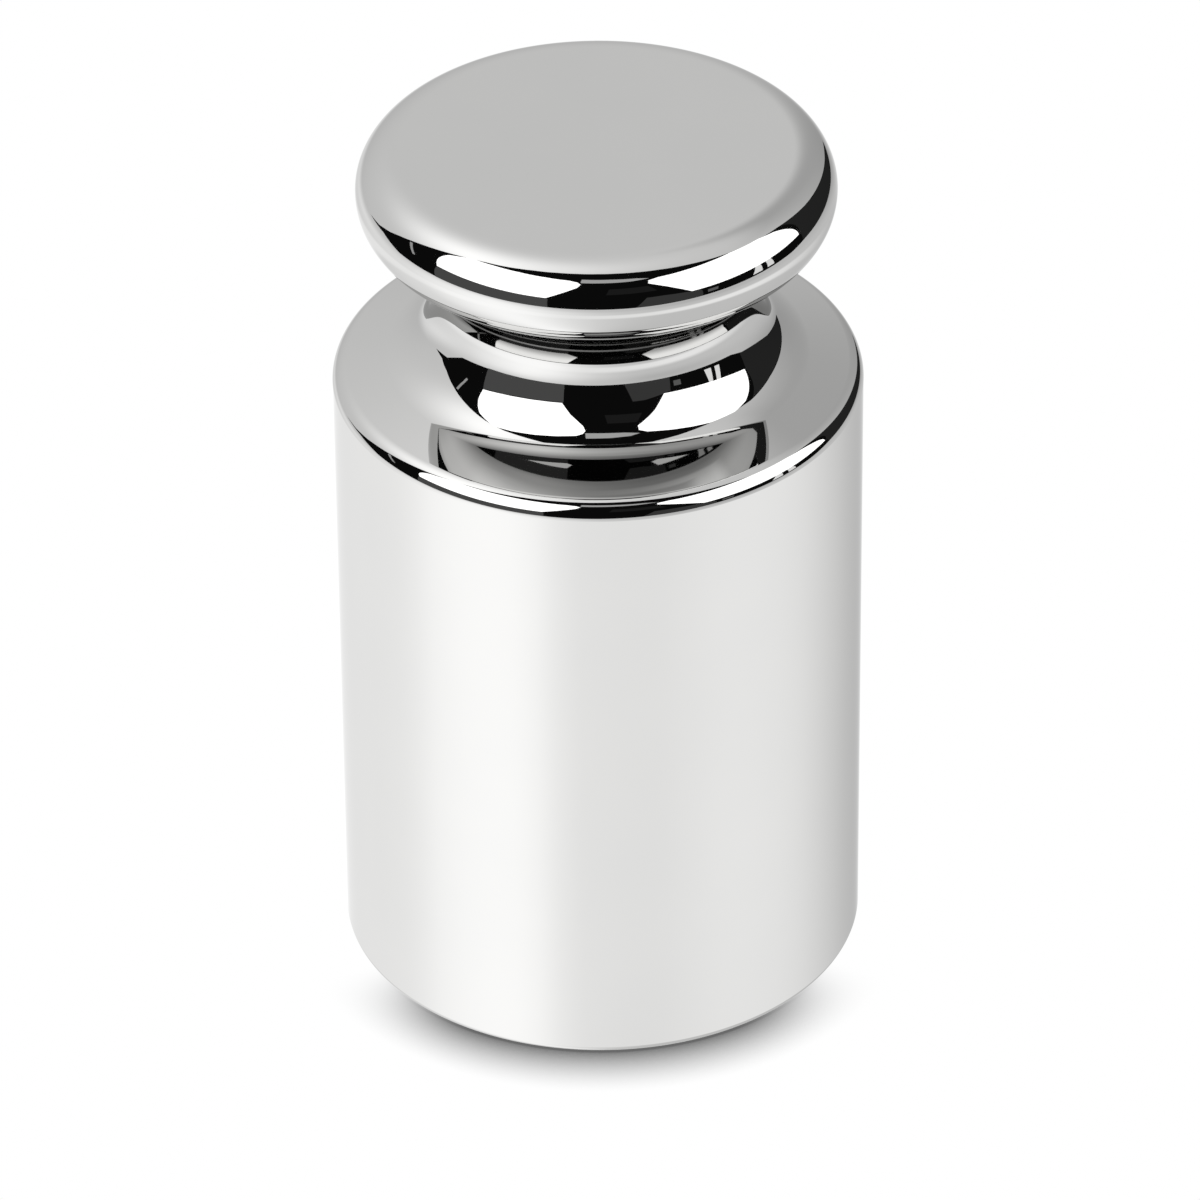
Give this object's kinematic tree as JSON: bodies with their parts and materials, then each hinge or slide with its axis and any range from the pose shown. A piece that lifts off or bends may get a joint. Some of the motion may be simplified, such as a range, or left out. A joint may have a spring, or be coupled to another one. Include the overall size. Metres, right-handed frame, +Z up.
{
  "type": "calibration weight",
  "caption": "Polished steel knob weight: round body with a sloping shoulder, a waisted neck and a flattened round knob on top.",
  "frame": {"origin": "centre of the base, on the surface the weight stands on", "axes": "+Z up along the weight's axis, towards the knob; any direction across is the same"},
  "size_m": [0.06, 0.06, 0.1033],
  "materials": {
    "polished_steel": "mirror polish"
  },
  "bodies": {
    "root": {"weight": "polished_steel"}
  },
  "joints": []
}
